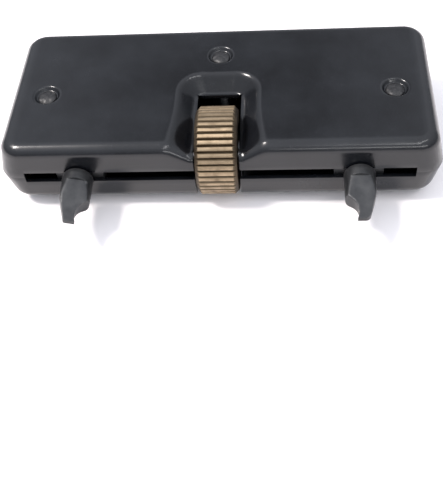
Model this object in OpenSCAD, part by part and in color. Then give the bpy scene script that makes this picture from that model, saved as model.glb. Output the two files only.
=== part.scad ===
// Adjustable case back opener: two pressed steel shells riveted together, a thumb wheel on a spindle
// with a left-hand and a right-hand thread, and two claws that the spindle moves apart and together.
// The claws point along -Y, the rivet heads are seen from +Z, and the tool lies on z = 0 on its wheel.

/* [Body] */
// Length of the housing at the parting plane, where it is longest
body_w = 91.2; // [89:0.2:110]
// Depth of the housing at the parting plane, front wall to rear wall
body_d = 38; // [35:0.5:46]
// Height of the front shell, from the parting plane to its face
front_h = 7.5; // [7.2:0.05:9.4]
// Height of the back shell, from the parting plane to its face
back_h = 7.1; // [6.4:0.05:8.6]
// Thickness of the steel sheet
sheet = 0.9; // [0.7:0.05:1.2]
// Corner radius of the housing at the parting plane, seen from above
corner_r = 4.2; // [3:0.1:5.5]
// Outer radius of the bend between a face and its walls
bend_r = 2.2; // [1.5:0.1:2.6]
// Lean of the end walls, in degrees from upright
end_draft = 12; // [4:0.1:13]
// Lean of the front wall, in degrees from upright
front_draft = 3.4; // [0:0.1:5]

/* [Slot and scoop] */
// Length of the claw slot in the front wall
slot_w = 80; // [66:1:84]
// Width of the thumb scoop at the face
scoop_w = 18.4; // [15:0.1:23]
// Length of the thumb scoop, from the front wall
scoop_len = 23; // [21.5:0.1:24]
// Depth of the thumb scoop
scoop_depth = 3.5; // [2.5:0.1:4.2]
// Level rim between the scoop's slope and the window
scoop_lip = 0.4; // [0.2:0.1:1]

/* [Thumb wheel] */
// Diameter over the ridges
wheel_d = 18.2; // [17:0.1:20.6]
// Width of the wheel
wheel_w = 8.5; // [7:0.1:10.2]
// Distance of the wheel's axis behind the front wall
wheel_back = 7.1; // [6.8:0.1:8]
// Number of ridges
ridges = 42; // [30:1:60]
// Depth of the grooves between the ridges
groove_depth = 0.5; // [0.3:0.05:0.8]
// Chamfer at both ends of the ridges
wheel_chamfer = 0.8; // [0.4:0.1:1.2]

/* [Spindle] */
// Outer diameter of both threads
spindle_d = 4; // [3.6:0.1:4.6]
// Diameter of the journals at the spindle's ends
journal_d = 3; // [2.4:0.1:3.6]
// Thickness of the bearing plates on the spindle's axis
bearing_t = 3.2; // [2.8:0.1:3.6]
// Width of the bearing plates, seen from the end
bearing_w = 9; // [6:0.1:10]
// Thickness of the thrust washers
washer_t = 0.7; // [0.5:0.1:1]
// Outer diameter of the thrust washers
washer_d = 6.4; // [5.6:0.1:7.6]

/* [Claws] */
// Distance of each claw from the wheel's middle
claw_x = 28.7; // [20:0.1:34]
// Reach of the claw tips in front of the housing
claw_reach = 12; // [10:0.1:14.2]
// Diameter of the round claw shank
claw_d = 6.4; // [5.6:0.1:7.2]
// Length of the round shank in front of the wall
shank_len = 2.9; // [2:0.1:3.5]
// Thickness of the claw where it leaves the shank
root_t = 5.4; // [4.4:0.1:5.5]
// Thickness of the claw at its tip
tip_t = 1; // [0.7:0.1:1.6]
// Distance of the tip's outer corner from the shank's axis
tip_out = 1.35; // [1:0.05:2]
// Radius of the hollow on the claw's inner side
relief_r = 3.6; // [3:0.1:4.2]
// Centre of the hollow, sideways from the shank's axis
relief_x = 4.3; // [4:0.1:4.6]
// Centre of the hollow, back from the tip
relief_back = 1.5; // [1:0.1:2]
// Diameter of the stud that screws into the carrier
stud_d = 2.4; // [1.8:0.1:2.8]
// Turn of the left claw about its own axis, as it was tightened
left_claw_turn = 14; // [-20:1:20]
// Length of each carrier along the spindle
carrier_l = 10; // [8:0.5:12]
// Wall of the carrier behind the spindle
carrier_wall = 2.2; // [1.6:0.1:3]
// Diameter of the grub screw that locks each stud
grub_d = 2; // [1.6:0.1:2.4]

/* [Rivets] */
// Distance of the side rivets from the middle
rivet_x = 36.5; // [33:0.1:38]
// Distance of the side rivets behind the front wall
rivet_side_back = 16.85; // [16:0.05:20]
// Distance of the rear rivet behind the front wall
rivet_rear_back = 28.45; // [28:0.05:29.5]
// Diameter of the rivet shank
rivet_d = 2.8; // [2.2:0.1:3.2]
// Diameter of the peened rivet head
head_d = 4; // [3.6:0.1:4.2]
// Height of the peened rivet head
head_h = 0.7; // [0.5:0.05:0.8]
// Depth of the pressed dimple round each head
dimple_depth = 0.8; // [0.6:0.05:1]
// How far the dimple's side leans out from its floor to the face
dimple_lean = 0.45; // [0.3:0.05:0.6]
// Outer diameter of the spacer sleeves round the rivets
spacer_d = 5.4; // [4.6:0.1:5.6]

/* [Clearances] */
// Gap between the wheel and each side of its window
window_gap = 0.4; // [0.3:0.05:0.6]
// Gap between the wheel and the far end of its window
window_end_gap = 3.3; // [2:0.1:3.6]
// Gap between a claw's stud and each side of the slot
slot_gap = 0.1; // [0.05:0.05:0.2]
// Gap between a rivet's head and the edge of its dimple's floor
head_gap = 0.25; // [0.15:0.05:0.4]
// Gap between a carrier or claw and the front wall
guide_gap = 0.2; // [0.15:0.05:0.3]
// Gap between a carrier and the underside of the scoop
scoop_gap = 0.25; // [0.2:0.05:0.4]
// Radial clearance of the spindle in its bearings and nuts
running = 0.05; // [0.02:0.01:0.1]
// End play of the spindle at each side
end_play = 0.1; // [0.05:0.05:0.2]
// Gap between the spindle and the end of each stud
stud_gap = 0.3; // [0.2:0.05:0.5]

/* [Hidden] */
$fn = 96;

over = 1;  // how far a cutter runs past the face it opens
journal_gap = 0.3;  // least distance, along x, between a journal's rim and the leaning end wall

// The row frame: the box of the whole tool is centred on x = 0 and y = 0, with its lowest point at z = 0
front_y = -(body_d - claw_reach) / 2;
mid_z = max(wheel_d / 2, back_h);

slot_h = stud_d + 2 * slot_gap;
window_w = wheel_w + 2 * window_gap;
window_len = wheel_back + wheel_d / 2 + window_end_gap;

inner_x = body_w / 2 - sheet / cos(end_draft);
bearing_x = inner_x - bearing_t;
shoulder_x = bearing_x - washer_t - end_play;
journal_end = inner_x - journal_d / 2 * tan(end_draft) - journal_gap;

carrier_h = 2 * (front_h - scoop_depth - sheet - scoop_gap);
carrier_front = sheet / cos(front_draft) + carrier_h / 2 * tan(front_draft) + guide_gap;
carrier_back = wheel_back + spindle_d / 2 + carrier_wall;
stud_end = wheel_back - spindle_d / 2 - stud_gap;
grub_back = (carrier_front + stud_end) / 2;
grub_slot_w = 0.5;
grub_slot_depth = 0.6;

front_seat = front_h - dimple_depth;  // floor of the dimples, seen from the parting plane
back_seat = back_h - dimple_depth;
dimple_floor_d = head_d + 2 * head_gap;
dimple_d = dimple_floor_d + 2 * dimple_lean;
spacer_bore = rivet_d + 2 * running;

shell_color = [0.10, 0.10, 0.11];
brass_color = [0.58, 0.50, 0.38];
claw_color = [0.30, 0.30, 0.31];
steel_color = [0.62, 0.62, 0.64];

// From the housing's own place (front wall at y = 0, parting plane at z = 0) to the row frame
module placed() {
    translate([0, front_y, mid_z]) children();
}

// A rectangle with round corners, centred on x, from y = 0
module rounded_rect(w, d, r) {
    translate([-w / 2 + r, 0]) square([w - 2 * r, d]);
    translate([-w / 2, r]) square([w, d - 2 * r]);
    for (x = [-w / 2 + r, w / 2 - r], y = [r, d - r]) translate([x, y]) circle(r);
}

// The centre of the bend, of radius r, between a face at y = h and a wall that stands at x on the
// parting plane and leans in by draft degrees
function bend_centre(x, h, r, draft) = [x - (r + (h - r) * sin(draft)) / cos(draft), h - r];

// A section through a shell, from x = from to x = to at the parting plane, and on to y = -below
module arch(from, to, h, r, from_draft, to_draft, below) {
    a = bend_centre(-from, h, r, from_draft);
    b = bend_centre(to, h, r, to_draft);
    polygon([
        [from - below * tan(from_draft), -below], [to + below * tan(to_draft), -below],
        [b[0] + r * cos(to_draft), b[1] + r * sin(to_draft)], [b[0], h],
        [-a[0], h], [-a[0] - r * cos(from_draft), a[1] + r * sin(from_draft)]
    ]);
    translate([-a[0], a[1]]) circle(r);
    translate(b) circle(r);
}

// The solid inside one shell's surface, moved in by inset and run down below the parting plane
module shell_block(h, inset, below) {
    w = body_w / 2 - inset / cos(end_draft);
    intersection() {
        translate([0, inset, -below]) linear_extrude(h - inset + below)
            rounded_rect(body_w - 2 * inset, body_d - 2 * inset, corner_r - inset);
        translate([0, body_d + over, 0]) rotate([90, 0, 0]) linear_extrude(body_d + 2 * over)
            arch(-w, w, h - inset, bend_r - inset, end_draft, end_draft, below);
        translate([-body_w / 2 - over, 0, 0]) rotate([90, 0, 90]) linear_extrude(body_w + 2 * over)
            arch(inset / cos(front_draft), body_d - inset, h - inset, bend_r - inset, front_draft, 0, below);
    }
}

// The funnel of the thumb scoop, or its underside when skin is the sheet's thickness
module scoop(skin) {
    mouth = scoop_w / 2 + skin;
    throat = window_w / 2 + scoop_lip + skin;
    floor_z = front_h - scoop_depth - skin;
    top_z = front_h + over;
    intersection() {
        translate([0, body_d, 0]) rotate([90, 0, 0]) linear_extrude(body_d + over)
            polygon([
                [-throat, floor_z], [throat, floor_z], [mouth, front_h],
                [mouth, top_z], [-mouth, top_z], [-mouth, front_h]
            ]);
        translate([-scoop_w, 0, 0]) rotate([90, 0, 90]) linear_extrude(2 * scoop_w)
            polygon([
                [-over, floor_z], [window_len + scoop_lip + skin, floor_z], [scoop_len + skin, front_h],
                [scoop_len + skin, top_z], [-over, top_z]
            ]);
    }
}

// Puts its children at the three rivets
module at_rivets() {
    for (p = [[-rivet_x, rivet_side_back], [rivet_x, rivet_side_back], [0, rivet_rear_back]])
        translate([p[0], p[1], 0]) children();
}

// One pressed shell, face up, with its open side on the parting plane
module shell(h, scooped) {
    seat = h - dimple_depth;
    difference() {
        union() {
            difference() {
                shell_block(h, 0, 0);
                shell_block(h, sheet, over);
            }
            if (scooped) intersection() {
                shell_block(h, 0, 0);
                scoop(sheet);
            }
            at_rivets() translate([0, 0, seat - sheet]) cylinder(
                d1 = dimple_floor_d + 2 * sheet, d2 = dimple_d + 2 * sheet, h = dimple_depth + sheet / 2
            );
        }
        if (scooped) scoop(0);
        translate([-window_w / 2, -over, -over]) cube([window_w, window_len + over, h + 2 * over]);
        translate([-slot_w / 2, -over, -over]) cube([slot_w, sheet + 2 * over, slot_h / 2 + over]);
        at_rivets() translate([0, 0, seat]) {
            cylinder(d1 = dimple_floor_d, d2 = dimple_d, h = dimple_depth);
            translate([0, 0, dimple_depth]) cylinder(d = dimple_d, h = over);
            translate([0, 0, -2 * sheet]) cylinder(d = rivet_d, h = 3 * sheet);
        }
    }
}

module front_shell() {
    color(shell_color) placed() shell(front_h, true);
}

module back_shell() {
    color(shell_color) placed() mirror([0, 0, 1]) shell(back_h, false);
}

// One rivet with a peened dome at both ends
module rivet() {
    dome_r = (pow(head_d / 2, 2) + pow(head_h, 2)) / (2 * head_h);
    rotate_extrude() {
        translate([0, -back_seat]) square([rivet_d / 2, back_seat + front_seat]);
        intersection() {
            translate([0, front_seat + head_h - dome_r]) circle(dome_r);
            translate([0, front_seat]) square([head_d / 2, head_h]);
        }
        intersection() {
            translate([0, -back_seat - head_h + dome_r]) circle(dome_r);
            translate([0, -back_seat - head_h]) square([head_d / 2, head_h]);
        }
    }
}

// The sleeve that keeps the two shells apart
module spacer() {
    low = -back_seat + sheet;
    high = front_seat - sheet;
    difference() {
        translate([0, 0, low]) cylinder(d = spacer_d, h = high - low);
        translate([0, 0, low - over]) cylinder(d = spacer_bore, h = high - low + 2 * over);
    }
}

module side_rivet(side) {
    color(shell_color) placed() translate([side * rivet_x, rivet_side_back, 0]) rivet();
}

module rear_rivet() {
    color(shell_color) placed() translate([0, rivet_rear_back, 0]) rivet();
}

module side_spacer(side) {
    color(steel_color) placed() translate([side * rivet_x, rivet_side_back, 0]) spacer();
}

module rear_spacer() {
    color(steel_color) placed() translate([0, rivet_rear_back, 0]) spacer();
}

// Puts its children on the spindle's axis, with their z along x
module on_axis() {
    placed() translate([0, wheel_back, 0]) rotate([0, 90, 0]) children();
}

// The space inside both shells
module inside() {
    shell_block(front_h, sheet, 0);
    mirror([0, 0, 1]) shell_block(back_h, sheet, 0);
}

// The plate at one end that the spindle's journal turns in, shaped to the inside of both shells
module bearing(side) {
    color(brass_color) placed() difference() {
        intersection() {
            inside();
            translate([side > 0 ? bearing_x : -inner_x - over, wheel_back - bearing_w / 2, -back_h])
                cube([bearing_t + over, bearing_w, front_h + back_h]);
        }
        translate([side * (bearing_x - over), wheel_back, 0]) rotate([0, side * 90, 0])
            cylinder(d = journal_d + 2 * running, h = bearing_t + 3 * over);
    }
}

// The washer between the spindle's shoulder and the bearing plate
module thrust_washer(side) {
    color(steel_color) on_axis() translate([0, 0, side * (bearing_x - washer_t / 2)]) difference() {
        cylinder(d = washer_d, h = washer_t, center = true);
        cylinder(d = journal_d + 2 * running, h = washer_t + 2 * over, center = true);
    }
}

// The spindle: a left-hand thread on one side of the wheel, a right-hand thread on the other
module spindle() {
    lead_in = 0.4;
    r = spindle_d / 2;
    j = journal_d / 2;
    color(steel_color) on_axis() rotate_extrude() polygon([
        [0, -journal_end], [j, -journal_end],
        [j, -shoulder_x], [r - lead_in, -shoulder_x], [r, -shoulder_x + lead_in],
        [r, shoulder_x - lead_in], [r - lead_in, shoulder_x], [j, shoulder_x],
        [j, journal_end], [0, journal_end]
    ]);
}

// The straight-knurled thumb wheel
module thumb_wheel() {
    r = wheel_d / 2;
    pitch = 360 / ridges;
    land = 0.33;   // half the ridge's top, as a share of the pitch
    groove = 0.42; // start of the groove's floor, as a share of the pitch
    ridge = [[-groove, groove_depth], [-land, 0], [land, 0], [groove, groove_depth]];
    color(brass_color) on_axis() difference() {
        intersection() {
            translate([0, 0, -wheel_w / 2]) linear_extrude(wheel_w) polygon([
                for (i = [0 : ridges - 1], s = ridge)
                    [(r - s[1]) * cos((i + s[0]) * pitch), (r - s[1]) * sin((i + s[0]) * pitch)]
            ]);
            rotate_extrude() polygon([
                [0, -wheel_w / 2], [r - wheel_chamfer, -wheel_w / 2],
                [r + over, -wheel_w / 2 + wheel_chamfer + over],
                [r + over, wheel_w / 2 - wheel_chamfer - over],
                [r - wheel_chamfer, wheel_w / 2], [0, wheel_w / 2]
            ]);
        }
        translate([0, 0, -wheel_w / 2 - over]) cylinder(d = spindle_d, h = wheel_w + 2 * over);
    }
}

// The nut that carries one claw along the spindle
module carrier(side) {
    color(claw_color) placed() translate([side * claw_x, 0, 0]) difference() {
        translate([-carrier_l / 2, carrier_front, -carrier_h / 2])
            cube([carrier_l, carrier_back - carrier_front, carrier_h]);
        translate([-carrier_l / 2 - over, wheel_back, 0]) rotate([0, 90, 0])
            cylinder(d = spindle_d + 2 * running, h = carrier_l + 2 * over);
        translate([0, wheel_back, 0]) rotate([90, 0, 0]) cylinder(d = stud_d, h = wheel_back);
        translate([0, grub_back, 0]) cylinder(d = grub_d, h = carrier_h);
    }
}

// The slotted screw that locks the stud in its carrier
module grub_screw(side) {
    tip_z = stud_d / 2;
    color(steel_color) placed() translate([side * claw_x, grub_back, 0]) difference() {
        translate([0, 0, tip_z]) cylinder(d = grub_d, h = carrier_h / 2 - tip_z);
        translate([-grub_d, -grub_slot_w / 2, carrier_h / 2 - grub_slot_depth])
            cube([2 * grub_d, grub_slot_w, grub_slot_depth + over]);
    }
}

// A round bar along y, from y = from to y = from - length
module bar(d, from, length) {
    translate([0, from, 0]) rotate([90, 0, 0]) cylinder(d = d, h = length);
}

// One claw, with its outer side on +x
module claw() {
    r = claw_d / 2;
    rooted = 0.4;  // how far the claw runs back into the shank
    taper_y = -claw_reach * 0.42;
    bar(stud_d, stud_end, stud_end + guide_gap);
    bar(claw_d, -guide_gap, shank_len - guide_gap);
    intersection() {
        bar(claw_d, -shank_len + rooted, claw_reach - shank_len + rooted);
        translate([-r, 0, 0]) rotate([90, 0, 90]) linear_extrude(claw_d) polygon([
            [-shank_len + rooted, -root_t / 2], [-shank_len + rooted, root_t / 2], [-shank_len, root_t / 2],
            [-claw_reach, tip_t / 2], [-claw_reach, -tip_t / 2], [-shank_len, -root_t / 2]
        ]);
        translate([0, 0, -r]) linear_extrude(claw_d) difference() {
            polygon([
                [-r, -shank_len + rooted], [-r, -claw_reach], [tip_out, -claw_reach],
                [r, taper_y], [r, -shank_len + rooted]
            ]);
            translate([-relief_x, -claw_reach + relief_back]) circle(relief_r);
        }
    }
}

module left_claw() {
    color(claw_color) placed() translate([-claw_x, 0, 0]) rotate([0, left_claw_turn, 0])
        mirror([1, 0, 0]) claw();
}

module right_claw() {
    color(claw_color) placed() translate([claw_x, 0, 0]) claw();
}

front_shell();
back_shell();
side_rivet(-1);  // left_rivet
side_rivet(1);  // right_rivet
rear_rivet();
side_spacer(-1);  // left_spacer
side_spacer(1);  // right_spacer
rear_spacer();
bearing(-1);  // left_bearing
bearing(1);  // right_bearing
thrust_washer(-1);  // left_thrust_washer
thrust_washer(1);  // right_thrust_washer
spindle();
thumb_wheel();
carrier(-1);  // left_carrier
carrier(1);  // right_carrier
left_claw();
right_claw();
grub_screw(-1);  // left_grub_screw
grub_screw(1);  // right_grub_screw
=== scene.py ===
import math

import bmesh
import bpy
from mathutils import Matrix, Vector, noise


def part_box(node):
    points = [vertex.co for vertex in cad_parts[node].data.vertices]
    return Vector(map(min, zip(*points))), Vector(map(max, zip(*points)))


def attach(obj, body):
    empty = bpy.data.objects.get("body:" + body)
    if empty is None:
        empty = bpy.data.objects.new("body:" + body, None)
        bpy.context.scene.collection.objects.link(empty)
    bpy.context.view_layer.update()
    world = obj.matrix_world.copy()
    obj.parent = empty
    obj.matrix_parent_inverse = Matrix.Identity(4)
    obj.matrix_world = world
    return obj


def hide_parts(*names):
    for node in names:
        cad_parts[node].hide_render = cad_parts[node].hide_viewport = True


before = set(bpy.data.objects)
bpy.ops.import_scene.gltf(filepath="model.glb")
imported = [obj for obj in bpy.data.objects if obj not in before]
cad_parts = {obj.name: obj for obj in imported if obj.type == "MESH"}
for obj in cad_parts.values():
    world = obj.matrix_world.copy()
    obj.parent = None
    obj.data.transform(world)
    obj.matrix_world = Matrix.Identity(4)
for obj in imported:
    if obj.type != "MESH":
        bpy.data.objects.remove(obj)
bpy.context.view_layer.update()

# Adjustable case back opener: enamelled steel pressings, a knurled brass wheel on a left and right hand
# spindle, and two blackened steel claws. Lengths in the dictionaries are millimetres; meshes are metres.
mm = 0.001
fullTurn = 2 * math.pi


def clamp(value, low=0.0, high=1.0):
    return min(max(value, low), high)


def easedRamp(t, first, last):
    # straight ramp from 0 to 1, rounded over its first and last shares
    rise = 1 / (1 - (first + last) / 2)
    t = clamp(t)
    if t < first:
        return rise * t * t / (2 * first)
    if t > 1 - last:
        return 1 - rise * (1 - t) ** 2 / (2 * last)
    return rise * (t - first / 2)


def span(low, high, step):
    # evenly spaced values from low to high, about a step apart
    count = max(1, round((high - low) / step))
    return [low + (high - low) * i / count for i in range(count + 1)]


def cutAlong(bm, axis, places):
    # splits every face that crosses these planes
    normal = Vector((axis == "x", axis == "y", axis == "z"))
    for place in places:
        geom = bm.verts[:] + bm.edges[:] + bm.faces[:]
        bmesh.ops.bisect_plane(bm, geom=geom, dist=1e-7, plane_co=normal * place, plane_no=normal)


def makePiece(name, bm, material, body, nodes, sharpAngle=35):
    mesh = bpy.data.meshes.new(name)
    bm.to_mesh(mesh)
    bm.free()
    mesh.shade_smooth()
    mesh.set_sharp_from_angle(angle=math.radians(sharpAngle))
    mesh.materials.append(material)
    piece = bpy.data.objects.new(name, mesh)
    bpy.context.scene.collection.objects.link(piece)
    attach(piece, body)
    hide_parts(*nodes)
    print("made", name, len(mesh.polygons), "faces")
    return piece


def easeEdges(piece, name, width):
    # a small round on every sharp edge, its width in millimetres
    ease = piece.modifiers.new(name, "BEVEL")
    ease.width = width * mm
    ease.segments = 2
    ease.limit_method = "ANGLE"
    ease.angle_limit = math.radians(50)


# materials

def linearColour(hexColour):
    channels = [int(hexColour[i:i + 2], 16) / 255 for i in (1, 3, 5)]
    return [c / 12.92 if c <= 0.04045 else ((c + 0.055) / 1.055) ** 2.4 for c in channels] + [1]


def addNode(tree, kind, settings, inputs):
    node = tree.nodes.new("ShaderNode" + kind)
    for name, value in settings.items():
        setattr(node, name, value)
    for name, value in inputs.items():
        if isinstance(value, bpy.types.NodeSocket):
            tree.links.new(value, node.inputs[name])
        else:
            node.inputs[name].default_value = value
    return node


def newMaterial(name, constants):
    material = bpy.data.materials.new(name)
    material.use_nodes = True
    tree = material.node_tree
    shader = tree.nodes["Principled BSDF"]
    for socket, value in constants.items():
        shader.inputs[socket].default_value = value
    coords = addNode(tree, "TexCoord", {}, {}).outputs["Object"]
    return material, tree, shader, coords


def perMm(size):
    # a texture scale that repeats about once in this many millimetres
    return 1 / (size * mm)


def rampOf(tree, factor, stops):
    # stops are (place, hex colour)
    ramp = addNode(tree, "ValToRGB", {}, {"Fac": factor})
    elements = ramp.color_ramp.elements
    while len(elements) < len(stops):
        elements.new(0.5)
    for element, (place, hexColour) in zip(elements, stops):
        element.position = place
        element.color = linearColour(hexColour)
    return ramp.outputs["Color"]


def rangeOf(tree, value, fromLow, fromHigh, toLow, toHigh):
    inputs = {"Value": value, "From Min": fromLow, "From Max": fromHigh, "To Min": toLow, "To Max": toHigh}
    return addNode(tree, "MapRange", {"clamp": True}, inputs).outputs["Result"]


def noiseOf(tree, coords, size, detail, roughness=0.5):
    # a cloudy pattern whose spots are about this many millimetres across
    inputs = {"Vector": coords, "Scale": perMm(size), "Detail": detail, "Roughness": roughness}
    return addNode(tree, "TexNoise", {}, inputs).outputs["Fac"]


def addBump(tree, shader, height, strength, depth):
    # depth in millimetres
    bump = addNode(tree, "Bump", {}, {"Strength": strength, "Distance": depth * mm, "Height": height})
    tree.links.new(bump.outputs["Normal"], shader.inputs["Normal"])


def mixColour(tree, factor, first, second, blend="MIX"):
    settings = {"data_type": "RGBA", "blend_type": blend}
    return addNode(tree, "Mix", settings, {0: factor, 6: first, 7: second}).outputs[2]


enamelLook = {
    "base": "#0b0c0f", "smeared": "#15171b", "haze": "#2a2c31", "peelSize": 1.6, "peelHeight": 0.004,
    "dustSize": 0.28, "smearSize": 14, "roughness": (0.16, 0.30), "pitted": "#08080a", "bare": "#232325",
    "pitSize": 0.5, "pitDepth": 0.05,
}


def glossEnamel():
    # stoved black enamel over pressed steel: a wet gloss with faint orange peel, dust and finger haze
    look = enamelLook
    material, tree, shader, coords = newMaterial("gloss_black_stoved_enamel", {
        "IOR": 1.46, "Coat Weight": 0.12, "Coat Roughness": 0.08,
    })
    smear = noiseOf(tree, coords, look["smearSize"], 5, 0.6)
    dust = noiseOf(tree, coords, look["dustSize"], 2)
    specks = rangeOf(tree, dust, 0.62, 0.74, 0, 0.5)
    tone = rampOf(tree, smear, [(0.35, look["base"]), (0.75, look["smeared"])])
    tree.links.new(mixColour(tree, specks, tone, linearColour(look["haze"])), shader.inputs["Base Color"])
    low, high = look["roughness"]
    tree.links.new(rangeOf(tree, smear, 0.3, 0.75, low, high), shader.inputs["Roughness"])
    peel = noiseOf(tree, coords, look["peelSize"], 2, 0.4)
    addBump(tree, shader, peel, 0.35, look["peelHeight"])
    return material


def hammeredEnamel():
    # the same enamel over a rough hammered head: duller, pitted and a little bare on top
    look = enamelLook
    material, tree, shader, coords = newMaterial("rough_black_enamel_on_rivets", {
        "Coat Weight": 0.1, "Coat Roughness": 0.3,
    })
    pits = noiseOf(tree, coords, look["pitSize"], 4, 0.7)
    tone = rampOf(tree, pits, [(0.4, look["pitted"]), (0.72, look["bare"])])
    tree.links.new(tone, shader.inputs["Base Color"])
    tree.links.new(rangeOf(tree, pits, 0.35, 0.65, 0.34, 0.6), shader.inputs["Roughness"])
    addBump(tree, shader, pits, 0.7, look["pitDepth"])
    return material


wheelLook = {
    "ridge": "#7b6b56", "rubbed": "#9f8d74", "groove": "#463c30", "tarnish": "#605443",
    "tarnishSize": 2.2, "scratchSize": 0.12, "scratchDepth": 0.02, "roughness": (0.34, 0.56),
}


def wornBrass(centre, outer, grooveDepth):
    # knurled brass gone brown: rubbed bright on the ridges, dark with dirt in the grooves
    look = wheelLook
    material, tree, shader, coords = newMaterial("worn_knurled_brass", {"Metallic": 0.85})
    away = addNode(tree, "VectorMath", {"operation": "SUBTRACT"}, {0: coords, 1: centre}).outputs["Vector"]
    across = addNode(tree, "VectorMath", {"operation": "MULTIPLY"}, {0: away, 1: (0, 1, 1)}).outputs["Vector"]
    radius = addNode(tree, "VectorMath", {"operation": "LENGTH"}, {0: across}).outputs["Value"]
    height = rangeOf(tree, radius, outer - grooveDepth, outer, 0, 1)
    tarnish = noiseOf(tree, coords, look["tarnishSize"], 6, 0.65)
    ridges = rampOf(tree, height, [(0.0, look["groove"]), (0.55, look["tarnish"]), (0.85, look["ridge"]),
                                   (1.0, look["rubbed"])])
    stain = rangeOf(tree, tarnish, 0.42, 0.7, 0, 0.55)
    tree.links.new(mixColour(tree, stain, ridges, linearColour(look["tarnish"])), shader.inputs["Base Color"])
    low, high = look["roughness"]
    tree.links.new(rangeOf(tree, tarnish, 0.35, 0.65, low, high), shader.inputs["Roughness"])
    addBump(tree, shader, noiseOf(tree, coords, look["scratchSize"], 3), 0.5, look["scratchDepth"])
    return material


clawLook = {
    "black": "#292a2c", "faded": "#414243", "rubbed": "#5a5b5c", "blotchSize": 3.2, "grindSize": 0.16,
    "grindDepth": 0.012, "roughness": (0.36, 0.52),
}


def blackenedSteel():
    # hardened steel, ground and then blacked in oil: satin, grey where the black has rubbed thin
    look = clawLook
    material, tree, shader, coords = newMaterial("oil_blackened_steel", {
        "Metallic": 0.6, "Coat Weight": 0.15, "Coat Roughness": 0.3,
    })
    blotch = noiseOf(tree, coords, look["blotchSize"], 5, 0.6)
    point = addNode(tree, "NewGeometry", {}, {}).outputs["Pointiness"]
    edge = rangeOf(tree, point, 0.52, 0.62, 0, 0.7)
    body = rampOf(tree, blotch, [(0.3, look["black"]), (0.72, look["faded"])])
    tree.links.new(mixColour(tree, edge, body, linearColour(look["rubbed"])), shader.inputs["Base Color"])
    low, high = look["roughness"]
    tree.links.new(rangeOf(tree, blotch, 0.3, 0.7, low, high), shader.inputs["Roughness"])
    stretched = addNode(tree, "Mapping", {}, {"Vector": coords, "Scale": (0.15, 1, 1)}).outputs["Vector"]
    addBump(tree, shader, noiseOf(tree, stretched, look["grindSize"], 3), 0.4, look["grindDepth"])
    return material


def turnedMetal(name, light, dark, roughness, grooveSize):
    # bar stock off the lathe: fine turning marks along x, slightly stained
    material, tree, shader, coords = newMaterial(name, {"Metallic": 1.0})
    stain = noiseOf(tree, coords, 3, 5)
    tree.links.new(rampOf(tree, stain, [(0.35, dark), (0.7, light)]), shader.inputs["Base Color"])
    tree.links.new(rangeOf(tree, stain, 0.3, 0.7, roughness + 0.1, roughness - 0.05),
                   shader.inputs["Roughness"])
    marks = addNode(tree, "TexWave", {"wave_type": "BANDS", "bands_direction": "X"},
                    {"Vector": coords, "Scale": perMm(grooveSize * 20), "Distortion": 1.5}).outputs["Fac"]
    addBump(tree, shader, marks, 0.25, 0.006)
    return material


# places from the frame

shellLow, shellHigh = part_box("front_shell")
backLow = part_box("back_shell")[0]
wheelLow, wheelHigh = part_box("thumb_wheel")
halfWidth = shellHigh.x - 0.003 * mm    # the rounded rim needs this much to stay inside the box
frontY = shellLow.y
rearY = shellHigh.y
partingZ = shellLow.z
frontHeight = shellHigh.z - partingZ
backHeight = partingZ - backLow.z
wheelRadius = (wheelHigh.z - wheelLow.z) / 2
wheelHalf = wheelHigh.x
axle = Vector((0, (wheelLow.y + wheelHigh.y) / 2, (wheelLow.z + wheelHigh.z) / 2))
housingSize = (halfWidth * 2, rearY - frontY, frontHeight + backHeight)
print("frame loaded, housing", [round(v / mm, 2) for v in housingSize])


def centreOf(node):
    low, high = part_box(node)
    return (low + high) / 2


enamel = glossEnamel()

# housing: two pressings, each with a window, half of the slot and three dimples; the front one has a funnel
# for the thumb

housing = {
    "sheet": 0.9, "corner": 4.2, "bend": 2.2, "windowGap": 0.4, "windowEndGap": 3.3,
    "slotHalf": 40.0, "slotHalfHeight": 1.3, "endDraft": 12.0, "frontDraft": 3.4,
    "funnelDepth": 3.5, "funnelRim": 0.4, "funnelHalf": 9.2, "funnelFlare": 1.9, "flareLength": 13.0,
    "funnelLength": 23.0, "frontLift": 1.0, "liftLength": 5.0, "cornerRound": 2.2,
    "foot": 0.12, "lip": 0.30, "fineStep": 0.42, "coarseStep": 2.6,
    "dimpleDepth": 0.8, "dimpleFloor": 2.1, "dimpleEdge": 2.95, "rivetHole": 1.4, "rimRound": 0.14,
    "innerRing": 0.7, "ringStep": 0.17, "outerRings": (3.25, 3.7, 4.3), "squareFrom": 0.7, "rowStretch": 1.6,
    "wallStep": 1.1, "cornerSegments": 9, "bendSegments": 8,
}
windowHalf = wheelHalf + housing["windowGap"] * mm
windowEnd = wheelHigh.y + housing["windowEndGap"] * mm
frontLean = frontHeight * math.tan(math.radians(housing["frontDraft"]))
rivetNodes = ["left_rivet", "right_rivet", "rear_rivet"]


def funnelShare(x, y):
    # 1 on the rim round the window, 0 outside the funnel
    reach = y - frontY
    throat = windowHalf + housing["funnelRim"] * mm
    throatEnd = windowEnd + housing["funnelRim"] * mm - frontY
    flare = housing["funnelFlare"] * mm * clamp(1 - reach / (housing["flareLength"] * mm)) ** 1.5
    sideRun = housing["funnelHalf"] * mm + flare - throat
    endRun = housing["funnelLength"] * mm - throatEnd
    # measured from a throat drawn in by its corner radius, so that the rings turn round the corner
    inward = housing["cornerRound"] * mm
    aside = max(abs(x) - throat + inward, 0)
    behind = max(reach - throatEnd + inward, 0)
    out = math.hypot(aside, behind) - inward
    along = aside / max(aside + behind, 1e-9)
    run = sideRun * along + endRun * (1 - along)
    return 1 - easedRamp(out / run, housing["foot"], housing["lip"])


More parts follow.
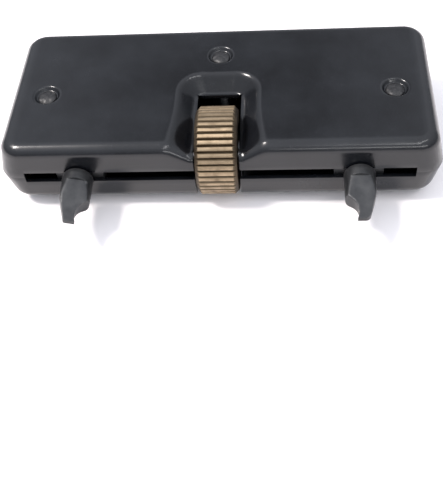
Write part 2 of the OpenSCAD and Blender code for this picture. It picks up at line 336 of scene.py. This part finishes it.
def dimpleShare(radius):
    low, high = housing["dimpleFloor"] * mm, housing["dimpleEdge"] * mm
    return 1 - easedRamp((radius - low) / (high - low), 0.3, 0.45)


def pressVertex(vert, rivets, reach, height, scooped):
    # rounds the grid into rings at each rivet, then presses the funnel and the dimples
    for centre in rivets:
        dx, dy = vert.co.x - centre.x, vert.co.y - centre.y
        ring = max(abs(dx), abs(dy))
        radius = math.hypot(dx, dy)
        if 0 < ring < reach and vert.co.z > partingZ + height / 2:
            squareFrom = housing["squareFrom"]
            squareness = easedRamp((ring / reach - squareFrom) / (1 - squareFrom), 0.3, 0.3)
            scale = 1 + (ring / radius - 1) * (1 - squareness)
            vert.co.x = centre.x + dx * scale
            vert.co.y = centre.y + dy * scale
            vert.co.z -= housing["dimpleDepth"] * mm * dimpleShare(radius * scale)
    if scooped:
        above = vert.co.z - partingZ
        wallLow = housing["slotHalfHeight"] * mm
        wallHigh = height - housing["bend"] * mm
        share = clamp((above - wallLow) / (wallHigh - wallLow))
        # the front lip is pressed less deep, so that its inner bend clears the carriers
        lift = housing["frontLift"] * clamp(1 - (vert.co.y - frontY) / (housing["liftLength"] * mm))
        depth = (housing["funnelDepth"] - lift) * mm
        vert.co.z -= depth * share * funnelShare(vert.co.x, vert.co.y)


def leanWalls(bm, height):
    # the end walls and the front wall lean in towards the face, and the rear wall stands upright
    endLean = height * math.tan(math.radians(housing["endDraft"]))
    lean = height * math.tan(math.radians(housing["frontDraft"]))
    middle = (frontY + rearY) / 2
    for vert in bm.verts:
        side = 1 if vert.co.z > partingZ else -1
        vert.co.x -= math.copysign(endLean, vert.co.x) * side
        if vert.co.y < middle:
            vert.co.y += lean * side


def pressing(height, scooped):
    # one shell with its face up; the back shell is turned over afterwards
    depth = rearY - frontY
    bm = bmesh.new()
    place = Matrix.Translation((0, frontY + depth / 2, partingZ))
    size = Matrix.Diagonal((2 * halfWidth, depth, 2 * height, 1))
    bmesh.ops.create_cube(bm, size=1, matrix=place @ size)
    leanWalls(bm, height)
    upright = [e for e in bm.edges if abs(e.verts[0].co.z - e.verts[1].co.z) > height]
    bmesh.ops.bevel(bm, geom=upright, offset=housing["corner"] * mm, affect="EDGES",
                    segments=housing["cornerSegments"], profile=0.5, material=-1)
    top = partingZ + height
    rim = [e for e in bm.edges if all(abs(v.co.z - top) < 1e-7 for v in e.verts)]
    bmesh.ops.bevel(bm, geom=rim, offset=housing["bend"] * mm, affect="EDGES",
                    segments=housing["bendSegments"], profile=0.5, material=-1)
    geom = bm.verts[:] + bm.edges[:] + bm.faces[:]
    bmesh.ops.bisect_plane(bm, geom=geom, dist=1e-7, plane_co=(0, 0, partingZ), plane_no=(0, 0, -1),
                           clear_outer=True)
    # grid lines: close together in the funnel and the dimples, far apart elsewhere
    rivets = [centreOf(node) for node in rivetNodes]
    floor, edge = housing["dimpleFloor"], housing["dimpleEdge"]
    rings = [housing["innerRing"], housing["rivetHole"], floor, *span(floor, edge, housing["ringStep"])[1:],
             *housing["outerRings"]]
    reach = rings[-1] * mm
    fine, coarse = housing["fineStep"] * mm, housing["coarseStep"] * mm
    funnelEdge = (housing["funnelHalf"] + housing["funnelFlare"] + 0.4) * mm
    columns = [s * x for s in (-1, 1) for x in [windowHalf, *span(windowHalf + fine, funnelEdge, fine)]]
    rows = span(frontY + fine, windowEnd - fine, fine * housing["rowStretch"]) + [windowEnd]
    rows += span(windowEnd + fine, frontY + (housing["funnelLength"] + 0.3) * mm, fine)
    for rivet in rivets:
        columns += [rivet.x + s * r * mm for s in (-1, 1) for r in [0, *rings]]
        rows += [rivet.y + s * r * mm for s in (-1, 1) for r in [0, *rings]]
    columns += span(-halfWidth, halfWidth, coarse)
    rows += span(frontY, rearY, coarse)
    slotEnd = housing["slotHalf"] * mm
    slotTop = partingZ + housing["slotHalfHeight"] * mm
    cutAlong(bm, "x", sorted({round(x, 6) for x in [*columns, -slotEnd, slotEnd]}))
    cutAlong(bm, "y", sorted({round(y, 6) for y in rows}))
    cutAlong(bm, "z", [slotTop, *span(slotTop, top - housing["bend"] * mm, housing["wallStep"] * mm)[1:]])
    bm.normal_update()
    doomed = []
    for face in bm.faces:
        c = face.calc_center_median()
        inWindow = abs(c.x) < windowHalf and c.y < windowEnd
        inSlot = abs(c.x) < slotEnd and face.normal.y < -0.9 and c.z < slotTop
        inHole = any(max(abs(c.x - r.x), abs(c.y - r.y)) < housing["rivetHole"] * mm for r in rivets)
        if inWindow or inSlot or inHole:
            doomed.append(face)
    bmesh.ops.delete(bm, geom=doomed, context="FACES")
    for vert in bm.verts:
        pressVertex(vert, rivets, reach, height, scooped)
    bmesh.ops.remove_doubles(bm, verts=bm.verts[:], dist=1e-6)
    bmesh.ops.recalc_face_normals(bm, faces=bm.faces[:])
    if max(bm.faces, key=lambda f: f.calc_center_median().z).normal.z < 0:
        bmesh.ops.reverse_faces(bm, faces=bm.faces[:])
    return bm


def finishShell(piece):
    wall = piece.modifiers.new("sheet", "SOLIDIFY")
    wall.thickness = housing["sheet"] * mm
    wall.offset = -1
    wall.use_even_offset = True
    easeEdges(piece, "rim", housing["rimRound"])


def makeHousing():
    front = pressing(frontHeight, True)
    back = pressing(backHeight, False)
    bmesh.ops.scale(back, vec=(1, 1, -1), space=Matrix.Translation((0, 0, -partingZ)), verts=back.verts[:])
    bmesh.ops.reverse_faces(back, faces=back.faces[:])
    finishShell(makePiece("front_pressing", front, enamel, "housing", ["front_shell"], 40))
    finishShell(makePiece("back_pressing", back, enamel, "housing", ["back_shell"], 40))


makeHousing()

# rivets: shank with a hammered head at both ends, painted with the housing

rivetEnamel = hammeredEnamel()
rivetSizes = {
    "shank": 1.4, "head": 2.0, "dome": 0.7, "blow": 0.16, "blowSize": 1.1, "underside": 0.97, "rimShare": 0.12,
    "segments": 40,
}


def rivetHalf(height, turn):
    # from the parting plane up: shank, underside of the head, then a dome dented by the hammer
    dome = rivetSizes["dome"] * mm
    head = rivetSizes["head"] * mm
    seat = height - dome
    shank = rivetSizes["shank"] * mm
    rimShare = rivetSizes["rimShare"]
    outline = [(shank, 0), (shank, seat), (head * rivetSizes["underside"], seat)]
    outline += [(head * math.cos(a), seat + dome * (rimShare + (1 - rimShare) * math.sin(a)))
                for a in span(0, math.pi / 2, math.pi / 16)[:-1]]
    bm = bmesh.new()
    verts = [bm.verts.new((r, 0, z)) for r, z in outline] + [bm.verts.new((0, 0, height))]
    edges = [bm.edges.new(pair) for pair in zip(verts, verts[1:])]
    bmesh.ops.spin(bm, geom=verts + edges, cent=(0, 0, 0), axis=(0, 0, 1), angle=fullTurn,
                   steps=rivetSizes["segments"], use_merge=True)
    bmesh.ops.remove_doubles(bm, verts=bm.verts[:], dist=1e-6)
    for vert in bm.verts:
        if vert.co.z > seat + 1e-6:
            spot = Vector((vert.co.x, vert.co.y, turn * mm)) / (rivetSizes["blowSize"] * mm)
            vert.co.z -= rivetSizes["blow"] * mm * abs(noise.noise(spot)) * 2
    return bm


def makeRivet(node, turn):
    low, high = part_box(node)
    centre = Vector(((low.x + high.x) / 2, (low.y + high.y) / 2, partingZ))
    bm = rivetHalf(high.z - partingZ, turn)
    below = rivetHalf(partingZ - low.z, turn + 2)
    bmesh.ops.scale(below, vec=(1, 1, -1), verts=below.verts[:])
    lower = bpy.data.meshes.new(node + "_lower")
    below.to_mesh(lower)
    below.free()
    bm.from_mesh(lower)
    bpy.data.meshes.remove(lower)
    bmesh.ops.remove_doubles(bm, verts=bm.verts[:], dist=1e-6)
    bmesh.ops.recalc_face_normals(bm, faces=bm.faces[:])
    bmesh.ops.translate(bm, vec=centre, verts=bm.verts[:])
    makePiece(node + "_peened", bm, rivetEnamel, "housing", [node], 60)


for index, rivetNode in enumerate(rivetNodes):
    makeRivet(rivetNode, 3.0 + 7 * index)

# thumb wheel: straight knurl cut off by a chamfer at both ends

wheel = {
    "ridges": 42, "grooveDepth": 0.5, "chamfer": 0.8, "steps": 12, "dent": 0.05, "dentSize": 1.4,
    # the end faces from the chamfer inward: share of the wheel's radius, and millimetres in from the end
    "endFace": ((0.62, 0.0), (0.58, 0.25), (0.38, 0.25), (0.34, 0.0)),
}
# height of one ridge over its pitch: 0 is the groove's floor and 1 the ridge's top
ridgeProfile = [0.0, 0.55, 0.94, 1.0, 1.0, 1.0, 0.94, 0.55]


def makeWheel():
    count = len(ridgeProfile)
    depth = wheel["grooveDepth"] * mm
    chamfer = wheel["chamfer"] * mm
    inner = wheelRadius - chamfer
    bm = bmesh.new()
    bmesh.ops.create_circle(bm, cap_ends=False, segments=wheel["ridges"] * count, radius=wheelRadius,
                            matrix=Matrix.Rotation(math.pi / 2, 4, "Y"))
    ring = bm.edges[:]
    start = Vector((-wheelHalf, 0, 0))
    bmesh.ops.translate(bm, vec=start, verts=bm.verts[:])
    last = wheel["steps"]
    step = wheelHalf * 2 / last
    for _ in range(last):
        made = bmesh.ops.extrude_edge_only(bm, edges=ring)["geom"]
        moved = [g for g in made if isinstance(g, bmesh.types.BMVert)]
        ring = [g for g in made if isinstance(g, bmesh.types.BMEdge)]
        bmesh.ops.translate(bm, vec=(step, 0, 0), verts=moved)
    pitch = fullTurn / wheel["ridges"]
    for vert in bm.verts:
        station = round((vert.co.x + wheelHalf) / step)
        angle = math.atan2(vert.co.z, vert.co.y) % fullTurn
        height = ridgeProfile[round(angle / pitch * count) % count]
        radius = wheelRadius - depth * (1 - height)
        inset = radius - inner    # where this line of the knurl meets the chamfer
        side = -1 if station < last / 2 else 1
        fromEnd = min(station, last - station)
        if fromEnd == 0:
            x, radius = wheelHalf, inner
        elif fromEnd == 1:
            x, radius = wheelHalf - inset * 0.5, inner + inset * 0.5
        elif fromEnd == 2:
            x = wheelHalf - inset
        else:
            x = (wheelHalf - chamfer) * (1 - (fromEnd - 2) / (last / 2 - 2))
        spot = Vector((side * x, radius * math.cos(angle), radius * math.sin(angle)))
        if height > 0.5:
            radius -= wheel["dent"] * mm * clamp(noise.noise(spot / (wheel["dentSize"] * mm)) * 1.6)
        vert.co = (side * x, radius * math.cos(angle), radius * math.sin(angle))
    # end faces, turned in two steps down to the bore
    for side in (-1, 1):
        rim = [e for e in bm.edges if e.is_boundary and e.verts[0].co.x * side > 0]
        for radius, inward in wheel["endFace"]:
            made = bmesh.ops.extrude_edge_only(bm, edges=rim)["geom"]
            rim = [g for g in made if isinstance(g, bmesh.types.BMEdge)]
            for vert in (g for g in made if isinstance(g, bmesh.types.BMVert)):
                around = Vector((0, vert.co.y, vert.co.z)).normalized() * radius * wheelRadius
                vert.co = (side * (wheelHalf - inward * mm), around.y, around.z)
        bmesh.ops.holes_fill(bm, edges=rim, sides=0)
    bmesh.ops.recalc_face_normals(bm, faces=bm.faces[:])
    bmesh.ops.translate(bm, vec=axle, verts=bm.verts[:])
    brass = wornBrass(axle, wheelRadius, depth)
    makePiece("knurled_wheel", bm, brass, "wheel", ["thumb_wheel"], 30)


makeWheel()

# spindle: right hand thread on one side of the wheel, left hand on the other

spindle = {
    "pitch": 0.7, "threadDepth": 0.6, "steps": 20, "runOut": 1.2, "journal": 1.5, "shoulder": 1.0, "core": 0.97,
    "collar": 0.96, "washerGap": 0.1, "threadStart": 0.7, "overlap": 0.1, "coreChamfer": 0.1,
    "journalChamfer": 0.2, "collarChamfer": 0.15,
}
# a thread's outline over one pitch: place along it, and whether it is at the crest
threadOutline = [(0, False), (0.1, False), (0.46, True), (0.54, True), (0.9, False), (1, False)]
steel = turnedMetal("zinc_plated_turned_steel", "#b9babb", "#7d7e80", 0.3, 0.25)
plainBrass = turnedMetal("machined_brass", "#b8975a", "#7c6238", 0.34, 0.3)


def threadBar(bm, radius, pitch, start, end, hand):
    # a screw thread along x, cut square at both ends
    root = radius - spindle["threadDepth"] * pitch
    turns = math.ceil((end - start) / pitch) + 3
    verts = [bm.verts.new((start + (share - 2) * pitch, 0, radius if crest else root))
             for share, crest in threadOutline]
    edges = [bm.edges.new(pair) for pair in zip(verts, verts[1:])]
    before = set(bm.verts) - set(verts)
    steps = spindle["steps"]
    bmesh.ops.spin(bm, geom=verts + edges, cent=(0, 0, 0), axis=(1, 0, 0), dvec=(pitch / steps, 0, 0),
                   angle=hand * fullTurn * turns, steps=steps * turns, use_merge=False)
    bmesh.ops.remove_doubles(bm, verts=[v for v in bm.verts if v not in before], dist=2e-6)
    for place, outward in ((start, -1), (end, 1)):
        mine = [v for v in bm.verts if v not in before]
        geom = mine + [e for e in bm.edges if e.verts[0] not in before]
        geom += [f for f in bm.faces if f.verts[0] not in before]
        cut = bmesh.ops.bisect_plane(bm, geom=geom, dist=1e-8, plane_co=(place, 0, 0),
                                     plane_no=(outward, 0, 0), clear_outer=True)["geom_cut"]
        rim = [g for g in cut if isinstance(g, bmesh.types.BMEdge)]
        bmesh.ops.holes_fill(bm, edges=rim, sides=0)


def plainBar(bm, radius, start, end, chamfer):
    # a round bar along x with chamfered ends
    place = Matrix.Translation(((start + end) / 2, 0, 0)) @ Matrix.Rotation(math.pi / 2, 4, "Y")
    made = bmesh.ops.create_cone(bm, cap_ends=True, segments=40, radius1=radius, radius2=radius,
                                 depth=end - start, matrix=place)["verts"]
    rim = [e for e in bm.edges if e.verts[0] in made and abs(e.verts[0].co.x - e.verts[1].co.x) < 1e-7]
    bmesh.ops.bevel(bm, geom=rim, offset=chamfer, affect="EDGES", segments=2, profile=0.5, material=-1)


def makeSpindle():
    low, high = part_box("spindle")
    radius = (high.z - low.z) / 2
    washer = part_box("right_thrust_washer")[0].x
    shoulder = washer - spindle["washerGap"] * mm
    bm = bmesh.new()
    middle = wheelHalf + spindle["runOut"] * mm
    plainBar(bm, radius * spindle["core"], -middle, middle, spindle["coreChamfer"] * mm)
    plainBar(bm, spindle["journal"] * mm, low.x, high.x, spindle["journalChamfer"] * mm)
    for side in (-1, 1):
        near = wheelHalf + spindle["runOut"] * mm * spindle["threadStart"]
        far = shoulder - spindle["shoulder"] * mm
        start, end = sorted((side * near, side * far))
        threadBar(bm, radius, spindle["pitch"] * mm, start, end, side)
        start, end = sorted((side * (far - spindle["overlap"] * mm), side * shoulder))
        plainBar(bm, radius * spindle["collar"], start, end, spindle["collarChamfer"] * mm)
    bmesh.ops.recalc_face_normals(bm, faces=bm.faces[:])
    bmesh.ops.translate(bm, vec=axle, verts=bm.verts[:])
    makePiece("threaded_spindle", bm, steel, "wheel", ["spindle"], 50)


makeSpindle()

# claws: round shank, ground to a wedge, with a hollow on the inner side

claw = {
    "gap": 0.2, "shank": 2.9, "root": 5.4, "tip": 1.0, "tipOut": 1.35, "taperFrom": 0.42,
    "hollow": 3.6, "hollowAside": 4.3, "hollowBack": 1.5, "segments": 96, "ring": 0.3, "softness": 22,
    "stud": 1.2, "studPitch": 0.45, "backEdge": 0.3, "leftTurn": 14, "tipRound": {"left": 0.35, "right": 1.0},
    "backRings": (0.06, 0.3, 1.2), "tipRings": (0.32, 0.18, 0.08, 0.03), "backSlope": 0.7, "tipEdge": 0.1,
    "tipSlope": 0.8, "studOverlap": 0.3,
}


def clawLimits(along, shankRadius, reach, tipRound):
    # half thickness, inner side and outer side at this distance in front of the wall
    wedge = clamp((along - claw["shank"] * mm) / (reach - claw["shank"] * mm))
    uncut = shankRadius * 4    # so far out that nothing is cut
    if along <= claw["shank"] * mm:
        return uncut, -uncut, uncut
    half = (claw["root"] + (claw["tip"] - claw["root"]) * wedge) * mm / 2
    taperFrom = claw["taperFrom"] * reach
    taper = clamp((along - taperFrom) / (reach - taperFrom))
    outer = shankRadius + (claw["tipOut"] * mm - shankRadius) * taper
    left = reach - along
    if left < tipRound:
        outer -= tipRound - math.sqrt(max(tipRound ** 2 - (tipRound - left) ** 2, 0))
    fromHollow = along - (reach - claw["hollowBack"] * mm)
    inner = -uncut
    radius = claw["hollow"] * mm
    if abs(fromHollow) < radius:
        inner = -claw["hollowAside"] * mm + math.sqrt(radius ** 2 - fromHollow ** 2)
    return half, inner, outer


def clawRadius(angle, centre, limits, shankRadius):
    # distance from the section's centre to its edge, softly rounded where two sides meet
    half, inner, outer = limits
    c, s = math.cos(angle), math.sin(angle)
    across = centre * c
    reaches = [-across + math.sqrt(max(across ** 2 - centre ** 2 + shankRadius ** 2, 1e-12))]
    if abs(s) > 1e-6:
        reaches.append(half / abs(s))
    if c > 1e-6:
        reaches.append((outer - centre) / c)
    if c < -1e-6:
        reaches.append((inner - centre) / c)
    power = claw["softness"]
    least = min(reaches)
    return least * sum((least / r) ** power for r in reaches) ** (-1 / power)


def makeClaw(name):
    low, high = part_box(name + "_claw")
    rightLow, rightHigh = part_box("right_claw")
    shankRadius = (rightHigh.x - rightLow.x) / 2
    reach = frontY - low.y
    tipRound = claw["tipRound"][name] * mm
    gap = claw["gap"] * mm
    bm = bmesh.new()
    place = Matrix.Translation((0, -(gap + reach) / 2, 0)) @ Matrix.Rotation(-math.pi / 2, 4, "X")
    bmesh.ops.create_cone(bm, cap_ends=True, segments=claw["segments"], radius1=shankRadius,
                          radius2=shankRadius, depth=reach - gap, matrix=place)
    shank = claw["shank"] * mm
    rings = [gap + d * mm for d in claw["backRings"]] + [shank - 0.12 * mm, shank, shank + 0.05 * mm]
    rings += span(shank + 0.2 * mm, reach - 0.5 * mm, claw["ring"] * mm)
    rings += [reach - d * mm for d in claw["tipRings"]]
    cutAlong(bm, "y", [-r for r in rings])
    for vert in bm.verts:
        along = -vert.co.y
        half, inner, outer = limits = clawLimits(along, shankRadius, reach, tipRound)
        centre = (max(inner, -shankRadius) + min(outer, shankRadius)) / 2
        angle = math.atan2(vert.co.z, vert.co.x)
        radius = clawRadius(angle, centre, limits, shankRadius)
        if along < gap + claw["backEdge"] * mm:
            radius -= (gap + claw["backEdge"] * mm - along) * claw["backSlope"]
        if along > reach - claw["tipEdge"] * mm:
            radius -= (along - reach + claw["tipEdge"] * mm) * claw["tipSlope"]
        vert.co.x = centre + radius * math.cos(angle)
        vert.co.z = radius * math.sin(angle)
    bmesh.ops.recalc_face_normals(bm, faces=bm.faces[:])
    stud = bmesh.new()
    start = -gap - claw["studOverlap"] * mm
    threadBar(stud, claw["stud"] * mm, claw["studPitch"] * mm, start, high.y - frontY, 1)
    bmesh.ops.rotate(stud, cent=(0, 0, 0), matrix=Matrix.Rotation(math.pi / 2, 3, "Z"), verts=stud.verts[:])
    bmesh.ops.recalc_face_normals(stud, faces=stud.faces[:])
    studMesh = bpy.data.meshes.new(name + "_stud_thread")
    stud.to_mesh(studMesh)
    stud.free()
    bm.from_mesh(studMesh)
    bpy.data.meshes.remove(studMesh)
    middle = centreOf(name + "_carrier")
    if name == "left":
        bmesh.ops.scale(bm, vec=(-1, 1, 1), verts=bm.verts[:])
        bmesh.ops.reverse_faces(bm, faces=bm.faces[:])
        turn = Matrix.Rotation(math.radians(claw["leftTurn"]), 3, "Y")
        bmesh.ops.rotate(bm, cent=(0, 0, 0), matrix=turn, verts=bm.verts[:])
    bmesh.ops.translate(bm, vec=(middle.x, frontY, axle.z), verts=bm.verts[:])
    makePiece(name + "_hook", bm, clawSteel, name + "_carriage", [name + "_claw"], 38)


clawSteel = blackenedSteel()
for sideName in ("left", "right"):
    makeClaw(sideName)

# pieces inside, kept as they come from the frame and given their finish

insideFinish = {
    "carrier": (clawSteel, 0.25), "bearing": (plainBrass, 0.2), "spacer": (steel, 0.15),
    "thrust_washer": (steel, 0.08), "grub_screw": (steel, 0.06),
}
for nodeName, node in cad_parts.items():
    for kind, (finish, edge) in insideFinish.items():
        if nodeName.endswith(kind):
            node.data.materials.clear()
            node.data.materials.append(finish)
            weld = node.modifiers.new("weld", "WELD")
            weld.merge_threshold = 1e-6
            easeEdges(node, "edges", edge)
print("inside pieces finished")

# floor, light and camera

studio = {
    "floor": 900, "lens": 58.55, "keyFrom": (-0.50, -0.04, 0.85), "keySize": 150, "keyPower": 5.6,
    "stripPower": 0.6, "horizon": 0.34, "overhead": 1.2, "ceiling": 0.40, "ceilingFrom": (-0.06, 0.74, 0.66),
    "keyDistance": 700, "stripTilts": (22, 62), "stripAside": 0.42, "stripDistance": 600, "stripLength": 480,
    "stripWidth": 35, "around": 1.25, "ceilingEdge": (0.945, 0.998), "skyHeights": (0.1, 0.9),
}
# the eye is measured from the middle of the face's front edge; the angles are in degrees, with the turn to the
# left of straight ahead and the tilt up from straight down
view = {"eye": (14.36, -112.28, 114.64), "turn": 7.74, "tilt": 37.46, "roll": -6.57}


def makeFloor():
    bm = bmesh.new()
    bmesh.ops.create_grid(bm, x_segments=1, y_segments=1, size=studio["floor"] * mm)
    mesh = bpy.data.meshes.new("floor")
    bm.to_mesh(mesh)
    bm.free()
    floor = bpy.data.objects.new("floor", mesh)
    bpy.context.scene.collection.objects.link(floor)
    material, tree, shader, coords = newMaterial("white_paper", {"Roughness": 0.8})
    shader.inputs["Base Color"].default_value = linearColour("#f6f2f2")
    mesh.materials.append(material)


def addLight(name, direction, distance, size, power, colour, sizeY=None):
    light = bpy.data.lights.new(name, "AREA")
    light.energy = power
    light.size = size * mm
    if sizeY:
        light.shape = "RECTANGLE"
        light.size_y = sizeY * mm
    light.color = linearColour(colour)[:3]
    lamp = bpy.data.objects.new(name, light)
    where = Vector(direction).normalized()
    lamp.location = where * distance * mm
    lamp.rotation_euler = where.to_track_quat("Z", "Y").to_euler()
    bpy.context.scene.collection.objects.link(lamp)


def makeLight():
    addLight("key", studio["keyFrom"], studio["keyDistance"], studio["keySize"], studio["keyPower"],
             "#fff8f4")
    for number, tilt in enumerate(studio["stripTilts"]):
        a = math.radians(tilt)
        towards = (studio["stripAside"], -math.sin(a), math.cos(a))
        addLight(f"strip{number}", towards, studio["stripDistance"], studio["stripLength"],
                 studio["stripPower"], "#ffffff", studio["stripWidth"])
    world = bpy.data.worlds.new("studio")
    bpy.context.scene.world = world
    world.use_nodes = True
    tree = world.node_tree
    back = tree.nodes["Background"]
    back.inputs["Color"].default_value = linearColour("#f1f5ff")
    # bright overhead, dim at the horizon, and a darker stretch of ceiling that the enamelled face mirrors
    direction = addNode(tree, "TexCoord", {}, {}).outputs["Generated"]
    height = addNode(tree, "SeparateXYZ", {}, {0: direction}).outputs["Z"]
    sky = rangeOf(tree, height, *studio["skyHeights"], studio["horizon"], studio["overhead"])
    facing = addNode(tree, "VectorMath", {"operation": "DOT_PRODUCT"},
                     {0: direction, 1: Vector(studio["ceilingFrom"]).normalized()}).outputs["Value"]
    ceiling = rangeOf(tree, facing, *studio["ceilingEdge"], studio["around"], studio["ceiling"])
    strength = addNode(tree, "Math", {"operation": "MULTIPLY"}, {0: sky, 1: ceiling}).outputs["Value"]
    tree.links.new(strength, back.inputs["Strength"])
    bpy.context.scene.view_settings.view_transform = "Standard"


def makeCamera():
    lens = bpy.data.cameras.new("camera")
    lens.lens = studio["lens"]
    lens.clip_start = 0.01
    camera = bpy.data.objects.new("camera", lens)
    turn, tilt, roll = (Matrix.Rotation(math.radians(view[angle]), 4, axis)
                        for angle, axis in (("turn", "Z"), ("tilt", "X"), ("roll", "Z")))
    edge = Vector((0, frontY + frontLean, shellHigh.z))
    camera.matrix_world = Matrix.Translation(edge + Vector(view["eye"]) * mm) @ turn @ tilt @ roll
    bpy.context.scene.collection.objects.link(camera)
    bpy.context.scene.camera = camera


makeFloor()
makeLight()
makeCamera()
print("floor, light and camera placed")
